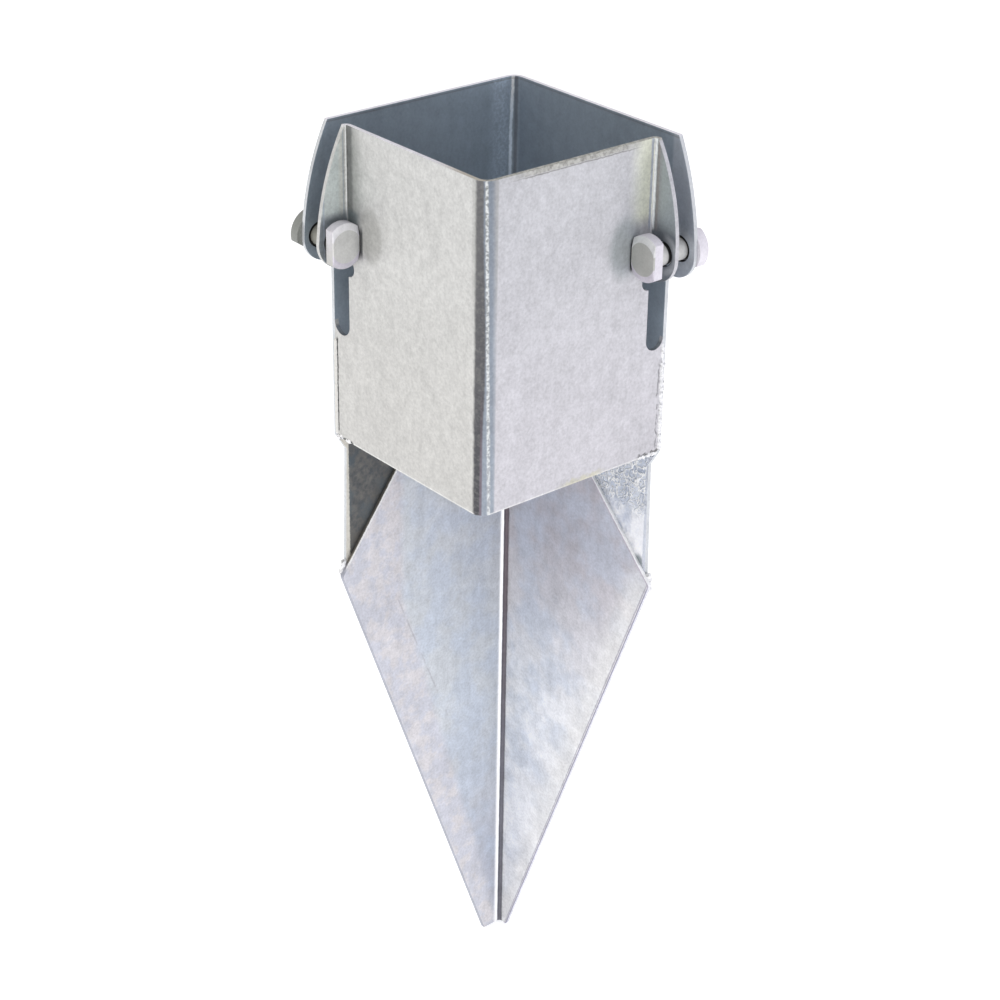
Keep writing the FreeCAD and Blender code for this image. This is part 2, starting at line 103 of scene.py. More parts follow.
studio = {
    "floorDrop": 0.0005,                # below the blade's tip
    "floorReach": 12,
    "floorColour": (0.9, 0.9, 0.905),
    "floorRoughness": 0.9,
    "floorGlow": 0.42,                  # lifts the floor to the photo's white
    "skyWarm": (1.0, 0.99, 0.965),      # light from the left
    "skyCool": (0.93, 0.94, 1.0),       # light from the right
    "skyBlend": 0.8,                    # how far from the middle each is reached
    "skyStrength": 0.78,
    # each light's place, what it points at, its width, power and colour
    "lights": {
        "keyLight": ((-0.3, -1.6, 1.0), (0, 0, 0), 1.2, 5.0, (1, 0.985, 0.95)),
        "fillLight": ((1.7, 0.4, 0.8), (0, 0, 0), 1.2, 4.0, (0.93, 0.94, 1)),
        "topLight": ((0.3, -0.3, 1.8), (0, 0, 0.1), 1.4, 3.0, (1, 1, 1)),
    },
}

def makeSky():
    world = bpy.data.worlds.new("studio")
    bpy.context.scene.world = world
    world.use_nodes = True
    tree = world.node_tree
    direction = addNode(tree, "ShaderNodeTexCoord")["Generated"]
    x, y = addNode(tree, "ShaderNodeSeparateXYZ", {0: direction})[:2]
    # x + y grows from left to right as the camera sees it
    across = addNode(tree, "ShaderNodeMath", {0: x, 1: y}, operation="ADD")[0]
    share = addNode(tree, "ShaderNodeMapRange", {
        "Value": across, "From Min": -studio["skyBlend"], "From Max": studio["skyBlend"]})[0]
    colour = addNode(tree, "ShaderNodeMix", {
        "Factor": share, 6: (*studio["skyWarm"], 1), 7: (*studio["skyCool"], 1)},
        data_type="RGBA")[2]
    background = tree.nodes["Background"]
    tree.links.new(colour, background.inputs["Color"])
    background.inputs["Strength"].default_value = studio["skyStrength"]

def makeFloor():
    low = cadBox[0][2] - studio["floorDrop"]
    reach = studio["floorReach"]
    corners = ((-reach, -reach), (reach, -reach), (reach, reach), (-reach, reach))
    mesh = bpy.data.meshes.new("floor")
    mesh.from_pydata([(x, y, low) for x, y in corners], [], [(0, 1, 2, 3)])
    floor = bpy.data.objects.new("floor", mesh)
    bpy.context.scene.collection.objects.link(floor)
    paint = bpy.data.materials.new("paleFloor")
    paint.use_nodes = True
    shader = paint.node_tree.nodes["Principled BSDF"]
    shader.inputs["Base Color"].default_value = (*studio["floorColour"], 1)
    shader.inputs["Roughness"].default_value = studio["floorRoughness"]
    shader.inputs["Emission Color"].default_value = (1, 1, 1, 1)
    shader.inputs["Emission Strength"].default_value = studio["floorGlow"]
    mesh.materials.append(paint)

def makeLights():
    for name, (place, target, width, power, colour) in studio["lights"].items():
        data = bpy.data.lights.new(name, "AREA")
        data.shape = "SQUARE"
        data.size = width
        data.energy = power
        data.color = colour
        light = bpy.data.objects.new(name, data)
        light.location = place
        aim = Vector(target) - Vector(place)
        light.rotation_euler = aim.to_track_quat("-Z", "Y").to_euler()
        bpy.context.scene.collection.objects.link(light)

makeSky()
makeFloor()
bpy.context.scene.view_settings.view_transform = "Standard"
makeLights()
print("camera, floor and lights in place")


def linear(colour):
    # turns a colour as it looks on screen, 0 to 255, to linear light
    return tuple(
        c / 255 / 12.92 if c / 255 <= 0.04045 else ((c / 255 + 0.055) / 1.055) ** 2.4
        for c in colour)


class Finish:
    # A material's tree. Sizes and places are in metres, on the object's own coordinates,
    # and colours are 0 to 255 as on screen. Most methods return the socket that they make.
    def __init__(self, name, roughness, metallic):
        self.material = bpy.data.materials.new(name)
        self.material.use_nodes = True
        self.tree = self.material.node_tree
        self.shader = self.tree.nodes["Principled BSDF"]
        self.shader.inputs["Metallic"].default_value = metallic
        self.shader.inputs["Roughness"].default_value = roughness
        self.place = self.add("ShaderNodeTexCoord")["Object"]
        facing = self.add("ShaderNodeNewGeometry")["Normal"]
        self.x, self.y, self.z = self.add("ShaderNodeSeparateXYZ", {0: self.place})[:3]
        self.nx, self.ny, self.nz = self.add("ShaderNodeSeparateXYZ", {0: facing})[:3]

    def add(self, kind, inputs={}, **settings):
        return addNode(self.tree, kind, inputs, **settings)

    def noise(self, size, detail=3.0, rough=0.5, stretch=(1, 1, 1), shift=(0, 0, 0)):
        # size is the width of one blotch
        where = self.place
        if stretch != (1, 1, 1) or shift != (0, 0, 0):
            where = self.add("ShaderNodeMapping", {
                "Vector": self.place, "Scale": stretch, "Location": shift})[0]
        return self.add("ShaderNodeTexNoise", {
            "Vector": where, "Scale": 1 / size, "Detail": detail, "Roughness": rough})[0]

    def maths(self, operation, first, second=0.0, third=0.0):
        return self.add("ShaderNodeMath", {0: first, 1: second, 2: third}, operation=operation)[0]

    def ramp(self, value, start, end, least=0.0, most=1.0, smooth=True):
        # least up to start and most from end on, whichever of the two is the higher
        return self.add("ShaderNodeMapRange", {
            "Value": value, "From Min": start, "From Max": end, "To Min": least, "To Max": most},
            interpolation_type="SMOOTHSTEP" if smooth else "LINEAR")[0]

    def band(self, value, low, high, soft):
        # 1 between low and high, falling to 0 over soft on both sides
        rise = self.ramp(value, low - soft, low + soft)
        fall = self.ramp(value, high + soft, high - soft)
        return self.times(rise, fall)

    def times(self, *factors):
        product = factors[0]
        for factor in factors[1:]:
            product = self.maths("MULTIPLY", product, factor)
        return product

    def either(self, first, second):
        return self.maths("MAXIMUM", first, second)

    def shifted(self, value, by, share):
        return self.maths("MULTIPLY_ADD", by, share, value)

    def varied(self, value, noise, share):
        # a value that a noise takes up and down
        return self.shifted(value, self.maths("SUBTRACT", noise, 0.5), share)

    def ragged(self, value, reach, size=0.0022):
        # moves a coordinate to and fro by about reach, so that a line along it comes out uneven
        swing = 2.6         # a noise seldom strays far from its middle
        return self.varied(value, self.noise(size, 3.0, 0.6), swing * reach)

    def distance(self, first, second):
        squared = self.maths("MULTIPLY_ADD", first, first, self.times(second, second))
        return self.maths("SQRT", squared)

    def ring(self, first, second, centre):
        # how far a point is from an axis, from the two coordinates across it
        return self.distance(*(
            self.maths("SUBTRACT", value, middle)
            for value, middle in zip((first, second), centre)))

    def patch(self, first, second, centre, size, soft=0.35):
        # 1 inside a soft ellipse on a wall
        far = self.distance(*(
            self.maths("DIVIDE", self.maths("SUBTRACT", value, middle), radius)
            for value, middle, radius in zip((first, second), centre, size)))
        return self.ramp(far, 1 + soft, 1 - soft)

    def tint(self, factor, under, over):
        inputs = {"Factor": factor}
        for index, colour in ((6, under), (7, over)):
            isSocket = isinstance(colour, bpy.types.NodeSocket)
            inputs[index] = colour if isSocket else (*linear(colour), 1)
        return self.add("ShaderNodeMix", inputs, data_type="RGBA")[2]

    def layers(self, under, *layers):
        # each layer is a colour and the factors that it is laid on with
        for colour, *factors in layers:
            under = self.tint(self.times(*factors), under, colour)
        return under

    def paint(self, colour, *factors):
        # lays one more layer on the finish itself
        self.colour = self.layers(self.colour, (colour, *factors))

    def lean(self, factor, normal, towards):
        # turns a normal towards a fixed one
        return self.add("ShaderNodeMix", {0: factor, 4: normal, 5: towards}, data_type="VECTOR")[1]

    def bump(self, height, distance, normal=None):
        inputs = {"Height": height, "Distance": distance, "Strength": 1.0}
        if normal is not None:
            inputs["Normal"] = normal
        return self.add("ShaderNodeBump", inputs)[0]

    def wear(self, tone, roughness, normal, metallic=None):
        # sends what was made to the shader, with its brightness times tone
        scaled = self.add("ShaderNodeVectorMath", {0: self.colour, 3: tone}, operation="SCALE")[0]
        for name, socket in (
                ("Base Color", scaled), ("Roughness", roughness),
                ("Normal", normal), ("Metallic", metallic)):
            if socket is not None:
                self.tree.links.new(socket, self.shader.inputs[name])
        return self.material


white = (255, 255, 255)
boltAxes = {
    "left": (-0.0595, 0.0992),      # y and z, the bolt lies along x
    "right": (0.0600, 0.1004),      # x and z, the bolt lies along y
}

def boltRings(finish):
    # how far a point is from the axis of the left and of the right bolt
    return (finish.ring(finish.y, finish.z, boltAxes["left"]),
            finish.ring(finish.x, finish.z, boltAxes["right"]))

def shadedHoleRims(finish, rings, outside, inside, start, end):
    # painted shadow on the rims of the ears' holes, in ears that lie from start to end along each bolt
    along = (finish.ramp(finish.x, -start, -end), finish.ramp(finish.y, start, end))
    return finish.either(*(
        finish.times(finish.ramp(ring, outside, inside), share)
        for ring, share in zip(rings, along)))


zinc = {
    "grain": 0.0013,        # width of the fine speckle
    "grainDepth": 0.00003,
    "cloud": 0.006,         # width of the soft mottling
    "cloudDepth": 0.0001,
    "drift": 0.035,         # width of the broad tone changes
    "streak": 0.0042,       # width of the upright run-off streaks
    "spread": 0.22,         # how much rougher the mottling makes it
    "metallic": 0.5,
    "topEdge": (0.1488, 0.1494),    # where the socket's upper rim starts
}

def startZinc(name, piece):
    # galvanised sheet: its brightness is around 1, and its parts have the piece's shares
    finish = Finish(name, piece["roughness"], zinc["metallic"])
    speckle = finish.noise(zinc["grain"], 2.0, 0.6)
    cloud = finish.noise(zinc["cloud"], 3.0, 0.55, shift=(0.3, 0.1, 0.7))
    broad = finish.noise(zinc["drift"], 2.0, 0.5, shift=(0.9, 0.4, 0.2))
    upright = finish.noise(
        zinc["streak"], 2.0, 0.5, stretch=(1, 1, 0.12), shift=(0.2, 0.8, 0.4))
    finish.tone = 1.0
    for noise, share in zip((speckle, cloud, broad, upright), piece["shares"]):
        finish.tone = finish.varied(finish.tone, noise, share)
    finish.roughness = finish.shifted(piece["roughness"], cloud, zinc["spread"])
    fine = finish.bump(speckle, zinc["grainDepth"])
    finish.relief = finish.bump(cloud, zinc["cloudDepth"], fine)
    finish.across = finish.maths("ADD", finish.x, finish.y)     # 0 at the front and rear bends
    finish.backward = finish.maths("MULTIPLY", finish.ny, -1.0)
    finish.outward = finish.maths("ADD", finish.nx, finish.backward)
    return finish

def insideFaces(finish):
    # the faces of the left and right rear walls that look into the socket
    return (
        finish.times(finish.ramp(finish.nx, 0.3, 0.6), finish.ramp(finish.x, -0.045, -0.046)),
        finish.times(finish.ramp(finish.backward, 0.3, 0.6), finish.ramp(finish.y, 0.045, 0.046)))

def insideBend(finish, start, end):
    # the inside of the bend between them
    return finish.times(
        finish.ramp(finish.x, -start, -end), finish.ramp(finish.y, start, end),
        finish.ramp(finish.outward, 0.5, 0.8))


frontSheet = {
    "shares": (0.52, 0.36, 0.15, 0.15),     # of speckle, mottling, drift and streaks
    "roughness": 0.32,
    "wallFace": (0.0523, 0.05275),          # the outer face, from the socket's axis
    "leftWall": ((199, 198, 195), (201, 201, 199)),     # at the foot and at the top
    "rightWall": ((202, 200, 205), (195, 195, 199)),
    # painted shade on the faces that look into the socket
    "inside": (140, 150, 158),
    # painted shade on the floors of the slots
    "slotShade": (124, 130, 136),
    "aboveHead": (0.1085, 0.1115),          # from here up nothing hides the folds
    "leftEar": (208, 216, 214),
    "rightEar": (154, 157, 162),
    # painted shadow in the bolt holes
    "hole": (40, 40, 42),
    "crack": (62, 62, 64),
}

def markFront(finish):
    # masks for the two walls, the two ears and the folds that stay in view above the heads
    x, y, nx, ny = finish.x, finish.y, finish.nx, finish.ny
    low, high = frontSheet["wallFace"]
    finish.back = finish.maths("MULTIPLY", y, -1.0)
    finish.side = finish.ramp(finish.across, -0.001, 0.001)
    finish.leftFace = finish.times(
        finish.ramp(ny, -0.6, -0.8), finish.band(finish.back, low, high, 0.0001))
    finish.rightFace = finish.times(
        finish.ramp(nx, 0.6, 0.8), finish.band(x, low, high, 0.0001))
    finish.leftEar = finish.times(
        finish.ramp(finish.back, 0.0526, 0.0532), finish.ramp(nx, 0.5, 0.8))
    finish.rightEar = finish.times(
        finish.ramp(x, 0.0526, 0.0532), finish.ramp(ny, -0.5, -0.8))
    finish.aboveHead = finish.ramp(finish.z, *frontSheet["aboveHead"])

def paintWalls(finish):
    x, z = finish.x, finish.z
    height = finish.ramp(z, 0.0, 0.15)
    warm = finish.tint(height, *frontSheet["leftWall"])
    cool = finish.tint(height, *frontSheet["rightWall"])
    finish.colour = finish.tint(finish.side, warm, cool)
    # painted shade on the faces that look into the socket
    reach = finish.either(x, finish.back)
    finish.paint(frontSheet["inside"],
                 finish.ramp(finish.outward, -0.1, -0.3), finish.ramp(reach, 0.0516, 0.0512))
    # painted shade on the floors of the slots
    finish.paint(frontSheet["slotShade"],
                 finish.ramp(finish.nz, 0.3, 0.6), finish.ramp(z, 0.07, 0.06))

def paintFrontBend(finish):
    # painted shading across the bend: a dark strip of shade, a chain of bright painted highlights like
    # beads and a blue-grey strip, which drift downwards
    x, across = finish.x, finish.across
    outer = finish.times(
        finish.ramp(x, 0.0445, 0.0455), finish.ramp(finish.back, 0.0445, 0.0455),
        finish.ramp(finish.outward, 0.5, 0.8))
    low = finish.ramp(finish.z, 0.15, 0.0, smooth=False)
    upperHalf = finish.ramp(low, 0.05, 0.5)
    lowerHalf = finish.ramp(low, 0.55, 0.9)
    finish.paint((140, 140, 137), outer, finish.ramp(across, -0.0095, -0.0045),
                 finish.ramp(low, 0.5, 0.25, 0.0, 0.45))

    blueEnd = finish.ragged(finish.shifted(across, low, -0.0028), 0.0004, 0.004)
    finish.paint(finish.tint(low, (131, 139, 150), (153, 161, 172)), outer,
                 finish.ramp(across, -0.0040, -0.0020), finish.ramp(blueEnd, 0.0072, 0.0034))

    # painted shade: the dark strip across the bend, blotched
    blotch = finish.noise(0.0022, 3.0, 0.65, shift=(0.7, 0.2, 0.4))
    bendShade = finish.layers(
        finish.tint(low, (106, 106, 108), (74, 74, 79)),
        ((130, 130, 128), finish.ramp(blotch, 0.44, 0.66, 0.0, 0.4)))
    start = finish.ragged(across, 0.0005, 0.0030)
    end = finish.shifted(finish.ragged(across, 0.0004, 0.0020), upperHalf, -0.0020)
    end = finish.shifted(end, lowerHalf, 0.0022)
    finish.paint(bendShade, outer,
                 finish.ramp(start, -0.0062, -0.0042), finish.ramp(end, 0.0002, -0.0014))
    # the purplish lower edge of the painted shade
    finish.paint((118, 104, 113), outer,
                 finish.band(across, -0.0012, 0.0003, 0.0004), lowerHalf, 0.8)

    # painted highlights: a ragged chain of bright beads along the bend
    chain = finish.ragged(finish.shifted(across, low, -0.0035), 0.0005, 0.0016)
    drops = finish.ramp(finish.noise(0.0014, 1.0, 0.5, shift=(0.1, 0.4, 0.8)), 0.38, 0.58)
    bendHighlight = finish.tint(
        drops, finish.tint(low, (150, 153, 152), (176, 179, 184)), (218, 221, 221))
    finish.paint(bendHighlight, outer, finish.band(chain, 0.0001, 0.0018, 0.0005))

def paintEars(finish):
    x, z, back = finish.x, finish.z, finish.back
    rings = boltRings(finish)
    boltShade = finish.ramp(finish.ragged(z, 0.0008, 0.004), 0.1135, 0.1085)
    leftTone = finish.layers(
        frontSheet["leftEar"],
        ((224, 226, 219), finish.ramp(back, 0.0580, 0.0550)),
        ((196, 202, 206), finish.band(back, 0.0541, 0.0549, 0.0003)),
        # painted highlight along the left ear's fold
        ((242, 243, 240), finish.band(finish.ragged(back, 0.0002), 0.0528, 0.0538, 0.0002)),
        ((150, 157, 162), boltShade))
    finish.paint(leftTone, finish.leftEar)
    finish.paint((178, 188, 200), finish.leftEar,
                 finish.band(finish.ragged(back, 0.0002), 0.0648, 0.0656, 0.0002), 0.7)
    # a painted reflection round the right bolt
    glint = finish.times(
        finish.band(rings[1], 0.0066, 0.0094, 0.0012), finish.ramp(x, 0.059, 0.063))
    # painted shade and painted highlight along the right ear's fold
    creaseShade = finish.band(finish.ragged(x, 0.0003), 0.0543, 0.0558, 0.0003)
    creaseHighlight = finish.band(finish.ragged(x, 0.0002), 0.0529, 0.0540, 0.0002)
    rightTone = finish.layers(
        frontSheet["rightEar"],
        ((164, 172, 175), finish.ramp(x, 0.0560, 0.0585)),
        ((122, 128, 134), boltShade),
        ((184, 188, 192), glint, 0.7),
        ((148, 145, 145), finish.aboveHead, creaseShade),
        ((244, 247, 247), finish.aboveHead, creaseHighlight))
    finish.paint(rightTone, finish.rightEar)
    # painted shadow in the ears' bolt holes
    finish.paint(frontSheet["hole"], shadedHoleRims(finish, rings, 0.0059, 0.0057, 0.036, 0.038))

def paintFolds(finish):
    # the folds where the ears leave the walls, with painted shade beside them and round the heads, painted
    # shade in the left fold and painted light beside the right one
    x, y, z = finish.x, finish.y, finish.z
    left, right = finish.leftFace, finish.rightFace
    # painted shade beside the left fold, above the left head and beside it
    finish.paint((150, 152, 149), left, finish.ramp(z, 0.09, 0.11),
                 finish.ramp(finish.ragged(x, 0.0008, 0.006), -0.0255, -0.0375, 0.0, 0.8))
    finish.paint((118, 119, 118), left, finish.ramp(z, 0.105, 0.112),
                 finish.ramp(finish.ragged(x, 0.0004, 0.003), -0.0346, -0.0368, 0.0, 0.95))
    finish.paint((122, 132, 136), left, finish.band(z, 0.1060, 0.1125, 0.0014),
                 finish.ramp(x, -0.0290, -0.0345, 0.0, 0.75))
    finish.paint((166, 166, 162), left,
                 finish.patch(x, z, (-0.0232, 0.1045), (0.0078, 0.0122), 0.2), 0.6)
    # painted shade in the left fold
    finish.paint((78, 80, 78), finish.aboveHead, finish.band(finish.back, 0.0518, 0.0529, 0.0002),
                 finish.band(finish.ragged(x, 0.0003), -0.0404, -0.0388, 0.0003), 0.9)
    # painted light beside the right fold, against the shade of the ear
    finish.paint((226, 228, 208), right, finish.ramp(z, 0.110, 0.118),
                 finish.ramp(finish.ragged(y, 0.0012, 0.006), 0.0250, 0.0360, 0.0, 0.8))
    # painted shade beside the right head
    finish.paint((150, 160, 162), right,
                 finish.patch(y, z, (0.0255, 0.1040), (0.0085, 0.0135)), 0.6)
    finish.paint((168, 174, 188), finish.aboveHead, finish.ramp(x, 0.0515, 0.0522),
                 finish.band(finish.ragged(y, 0.0003), 0.0384, 0.0397, 0.0003), 0.9)
    # painted shadow in the gaps beside the heads
    headShadow = finish.either(
        finish.times(left, finish.band(x, -0.0330, -0.0290, 0.0005)),
        finish.times(right, finish.band(y, 0.0287, 0.0310, 0.0003)))
    finish.paint((52, 54, 56), headShadow, finish.band(z, 0.0930, 0.1060, 0.0022), 0.9)

def paintWallEdges(finish):
    # cracks beside the seams, a painted highlight and painted shadow along the lower edges, and a rougher
    # upper rim on the right
    x, y, z = finish.x, finish.y, finish.z
    left, right = finish.leftFace, finish.rightFace
    broken = finish.ramp(finish.noise(0.004, 2.0, 0.5, shift=(0.8, 0.3, 0.5)), 0.40, 0.50)
    leftCrack = finish.times(
        left, finish.band(finish.ragged(x, 0.0004, 0.003), -0.0496, -0.0484, 0.0002),
        finish.band(z, 0.003, 0.049, 0.001))
    rightCrack = finish.times(
        right, finish.band(finish.ragged(y, 0.0010, 0.003), 0.0486, 0.0493, 0.0003),
        finish.band(z, 0.003, 0.044, 0.002), broken, 0.6)
    finish.paint(frontSheet["crack"], finish.either(leftCrack, rightCrack))

    # a painted highlight along the lower edges
    finish.paint((240, 240, 238), finish.either(left, right),
                 finish.ramp(z, 0.0008, 0.0005, 0.0, 0.55))
    # painted shadow along the lower edges beside the corners
    leftToeShadow = finish.times(
        left, finish.ramp(x, -0.0370, -0.0390),
        finish.ramp(finish.ragged(z, 0.0008, 0.002), 0.0014, 0.0004))
    rightToeShadow = finish.times(
        right, finish.ramp(y, 0.0370, 0.0400),
        finish.band(finish.ragged(z, 0.0016, 0.002), 0.0006, 0.0018, 0.0004), 0.8)
    finish.paint((70, 72, 72), finish.either(leftToeShadow, rightToeShadow))
    finish.paint((196, 192, 158), right, finish.band(y, -0.0060, 0.0160, 0.005),
                 finish.ramp(finish.ragged(z, 0.0022, 0.003), 0.0030, 0.0008, 0.0, 0.55))

    grit = finish.noise(0.0018, 4.0, 0.7, shift=(0.2, 0.5, 0.1))
    rightRim = finish.tint(finish.ramp(grit, 0.36, 0.60), (134, 132, 125), (184, 183, 176))
    leftRim = finish.tint(finish.ramp(x, 0.015, 0.040), (226, 224, 230), (176, 170, 158))
    finish.paint(finish.tint(finish.side, leftRim, rightRim),
                 finish.ramp(z, *zinc["topEdge"]), finish.ramp(finish.nz, 0.3, 0.6))
    lip = finish.ragged(z, 0.0005, 0.004)
    along = finish.band(y, -0.034, 0.030, 0.010)
    finish.paint(rightRim, right, finish.ramp(lip, 0.1478, 0.1482), along, 0.8)
    finish.paint((112, 110, 104), right, finish.band(lip, 0.1473, 0.1478, 0.0002), along, 0.7)

def makeFrontZinc():
    finish = startZinc("frontZinc", frontSheet)
    markFront(finish)
    paintWalls(finish)
    paintFrontBend(finish)
    paintEars(finish)
    paintFolds(finish)
    paintWallEdges(finish)
    return finish.wear(finish.tone, finish.roughness, finish.relief)


rearSheet = {
    "shares": (0.34, 0.30, 0.2, 0.15),
    "roughness": 0.34,
    "plain": (206, 209, 212),               # the faces that the photo doesn't show
    # painted shade on the faces that look into the socket
    "leftWall": ((146, 157, 167), (162, 175, 187)),     # outside and beside the bend
    "rightWall": (150, 161, 173),
    "leftSkirt": ((76, 80, 84), (114, 112, 108)),       # painted shade, dark, from blotch to blotch
    "rightSkirt": ((206, 212, 226), (250, 251, 255)),   # smooth part
    "crumpled": ((200, 207, 221), (228, 232, 241)),     # crumpled part
    "creaseDepth": 0.0003,
    # painted shadow in the bolt holes
    "hole": (36, 36, 38),
}

def leftSkirtTone(finish):
    # painted shade: dark and mottled, with painted shadow towards its upper edge and along the blade
    mottle = finish.ramp(finish.noise(0.0040, 5.0, 0.7, shift=(0.5, 0.1, 0.9)), 0.28, 0.72)
    stain = finish.ramp(finish.noise(0.014, 2.0, 0.5, shift=(0.2, 0.9, 0.3)), 0.45, 0.60, 0.0, 0.6)
    slope = finish.shifted(
        finish.maths("ADD", finish.y, 0.0495), finish.maths("ADD", finish.z, 0.072), -0.64)
    # painted shadow towards the upper edge and along the blade
    edge = finish.either(
        finish.ramp(slope, -0.010, -0.002, 0.0, 0.6),
        finish.ramp(finish.z, -0.012, -0.004, 0.0, 0.6))
    return finish.layers(
        finish.tint(mottle, *rearSheet["leftSkirt"]),
        ((84, 96, 104), stain),
        ((78, 76, 72), edge, mottle))

def rightSkirtTone(finish):
    # smooth below and crumpled above, with painted highlights on the ridges and painted shade in the
    # valleys; also gives how far each point stands out of a crease
    crumple = finish.noise(0.0036, 1.0, 0.5, stretch=(1, 1, 0.8), shift=(0.1, 0.7, 0.3))
    crinkle = finish.noise(0.0026, 1.0, 0.5, stretch=(1, 1, 1.3), shift=(0.6, 0.2, 0.9))
    first, second, third = (
        finish.maths("ABSOLUTE", finish.maths("SUBTRACT", noise, level))
        for noise, level in ((crumple, 0.5), (crinkle, 0.5), (crumple, 0.40)))
    # painted highlights on the ridges and painted shade in the valleys
    ridge = finish.either(finish.ramp(first, 0.050, 0.010), finish.ramp(second, 0.050, 0.010))
    valley = finish.ramp(third, 0.045, 0.010, 0.0, 0.45)
    creased = finish.ramp(finish.ragged(finish.z, 0.006, 0.012), -0.042, -0.026)
    broad = finish.noise(0.012, 3.0, 0.6, shift=(0.4, 0.4, 0.1))
    small = finish.noise(0.0040, 3.0, 0.6)
    smooth = finish.tint(finish.ramp(broad, 0.36, 0.56), *rearSheet["rightSkirt"])
    rough = finish.layers(
        finish.tint(finish.ramp(small, 0.35, 0.65), *rearSheet["crumpled"]),
        ((142, 154, 176), valley),
        (white, ridge, finish.maths("SUBTRACT", 1.0, valley)))
    height = finish.times(creased, finish.maths("SUBTRACT", ridge, valley))
    return finish.tint(creased, smooth, rough), height

def paintRearBend(finish, leftInside):
    # seen from inside: sparkle on its left, a painted highlight along a bright line and painted shade in a
    # darker band on its right
    across = finish.across
    inside = insideBend(finish, 0.040, 0.042)
    sparkle = finish.ramp(finish.noise(0.0016, 3.0, 0.6, shift=(0.3, 0.3, 0.6)), 0.45, 0.60)
    finish.paint((194, 208, 222), leftInside, finish.band(across, -0.0130, -0.0030, 0.004),
                 finish.maths("MULTIPLY_ADD", sparkle, 0.5, 0.35))
    # painted shade in a darker band
    darker = finish.band(finish.ragged(across, 0.0005, 0.006), -0.0002, 0.0020, 0.0006)
    finish.paint((104, 105, 112), inside, darker, 0.6)
    wander = finish.shifted(across, finish.ramp(finish.z, 0.120, 0.150), -0.0010)
    # painted highlight along a bright line
    line = finish.band(finish.ragged(wander, 0.0006), -0.0032, -0.0014, 0.0004)
    shine = finish.tint(finish.ramp(finish.z, 0.130, 0.148), (224, 236, 248), white)
    finish.paint(shine, inside, line, 0.9)

def makeRearZinc():
    finish = startZinc("rearZinc", rearSheet)
    x, y, z = finish.x, finish.y, finish.z
    leftInside, rightInside = insideFaces(finish)
    below = finish.ramp(z, 0.0002, -0.0012)
    # painted shade on the faces that look into the socket, with the skirts below
    leftTone = finish.layers(
        finish.tint(finish.ramp(finish.across, -0.070, -0.004), *rearSheet["leftWall"]),
        (leftSkirtTone(finish), below))
    skirtTone, creases = rightSkirtTone(finish)
    rightTone = finish.layers(
        rearSheet["rightWall"],
        (skirtTone, below),
        ((128, 140, 146), below, finish.patch(x, z, (0.0440, -0.0610), (0.0035, 0.0045)), 0.8))
    finish.colour = rearSheet["plain"]
    finish.paint(leftTone, leftInside)
    finish.paint(rightTone, rightInside)
    paintRearBend(finish, leftInside)

    # the far right ear, lifted out of the painted shade and with a painted reflection round its bolt,
    # painted light along the skirts' edge strips, the rim and painted shadow in the holes
    rings = boltRings(finish)
    # the far ear lifted out of the painted shade, with a painted reflection round its bolt
    farEar = finish.times(rightInside, finish.ramp(x, 0.0520, 0.0540))
    finish.paint((184, 190, 199), farEar, 0.8)
    finish.paint((198, 202, 208), farEar, finish.band(rings[1], 0.0066, 0.0095, 0.0015), 0.6)
    # painted light on the inner faces along the skirts' edges
    skirt = finish.ramp(z, 0.0, -0.004)
    finish.paint((214, 210, 200), leftInside, skirt,
                 finish.ramp(finish.ragged(y, 0.0004), -0.0458, -0.0466))
    finish.paint((214, 218, 228), rightInside, skirt,
                 finish.ramp(finish.ragged(x, 0.0004), 0.0460, 0.0466))
    finish.paint((112, 98, 84), finish.either(leftInside, rightInside),
                 finish.band(finish.ragged(z, 0.0002), 0.1486, 0.1492, 0.0002), 0.35)
    finish.paint((232, 230, 236),
                 finish.ramp(z, *zinc["topEdge"]), finish.ramp(finish.nz, 0.3, 0.6))
    # painted shadow in the bolt holes
    finish.paint(rearSheet["hole"], shadedHoleRims(finish, rings, 0.0061, 0.0058, 0.048, 0.050))

    relief = finish.bump(
        finish.times(rightInside, below, creases), rearSheet["creaseDepth"], finish.relief)
    return finish.wear(finish.tone, finish.roughness, relief)


bladeSheet = {
    "shares": (0.5, 0.45, 0.25, 0.2),
    "roughness": 0.30,
    "plain": (204, 207, 211),
    "leftOuter": ((202, 203, 212), (213, 210, 213)),    # from swirl to swirl
    "leftInner": ((206, 210, 215), (182, 185, 197)),    # above and below
    "rightArm": ((189, 185, 192), (246, 247, 250)),     # above and below
    "crease": ((94, 83, 90), (98, 97, 107)),            # painted shade in the crease, above and below
    "ridgeNormal": (0.7, -0.7, 0.0),        # the way the ridge and the rims seem to face
    "rimNormal": (0.75, -0.55, 0.35),
}

